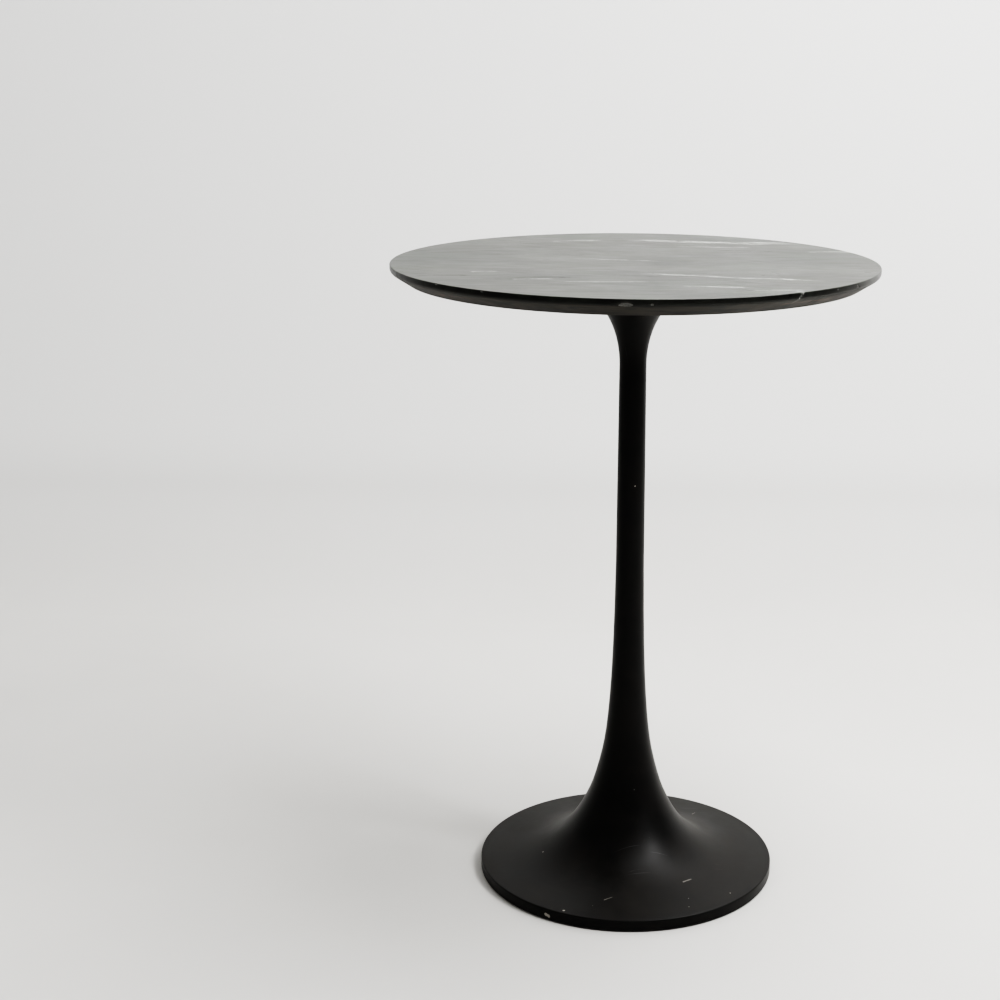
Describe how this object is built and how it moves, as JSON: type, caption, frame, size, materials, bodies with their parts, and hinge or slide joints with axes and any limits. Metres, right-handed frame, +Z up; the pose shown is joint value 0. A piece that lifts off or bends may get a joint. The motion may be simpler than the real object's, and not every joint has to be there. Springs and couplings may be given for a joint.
{
  "type": "round pedestal side table",
  "caption": "Round pedestal side table: bevelled dark stone top bolted to a slender trumpet-shaped casting with a weighted foot and screw-in levellers.",
  "frame": {"origin": "on the floor under the centre of the foot, with the levellers screwed right in", "axes": "+Z up along the stem, to the table top; the levellers are at 45 degrees to +X and +Y"},
  "size_m": [0.457, 0.457, 0.615],
  "materials": {
    "stone": "honed and waxed dark marble with fine pale veins",
    "powder_coat": "matt black powder coat on cast aluminium",
    "plated_steel": "zinc-plated steel",
    "black_steel": "black-oxide steel",
    "brass": "turned brass",
    "pad_rubber": "thin black rubber sheet",
    "ballast_iron": "rough cast iron with black primer",
    "glide_nylon": "black nylon"
  },
  "bodies": {
    "table": {"stone_top": "stone", "stone_inserts": "brass", "stone_pad": "pad_rubber", "mounting_plate": "plated_steel", "flange_screws": "black_steel", "flat_washers": "plated_steel", "spring_washers": "plated_steel", "stone_screws": "black_steel", "pedestal": "powder_coat", "ballast_weight": "ballast_iron", "ballast_bolt": "plated_steel", "ballast_washer": "plated_steel"},
    "leveller_1": {"leveller_stud_1": "plated_steel", "leveller_foot_1": "glide_nylon"},
    "leveller_2": {"leveller_stud_2": "plated_steel", "leveller_foot_2": "glide_nylon"},
    "leveller_3": {"leveller_stud_3": "plated_steel", "leveller_foot_3": "glide_nylon"},
    "leveller_4": {"leveller_stud_4": "plated_steel", "leveller_foot_4": "glide_nylon"}
  },
  "joints": [
    {"name": "leveller_1_height", "type": "slide", "parent": "table", "child": "leveller_1", "axis": [0, 0, -1], "range_m": [0, 0.003]},
    {"name": "leveller_2_height", "type": "slide", "parent": "table", "child": "leveller_2", "axis": [0, 0, -1], "range_m": [0, 0.003]},
    {"name": "leveller_3_height", "type": "slide", "parent": "table", "child": "leveller_3", "axis": [0, 0, -1], "range_m": [0, 0.003]},
    {"name": "leveller_4_height", "type": "slide", "parent": "table", "child": "leveller_4", "axis": [0, 0, -1], "range_m": [0, 0.003]}
  ]
}
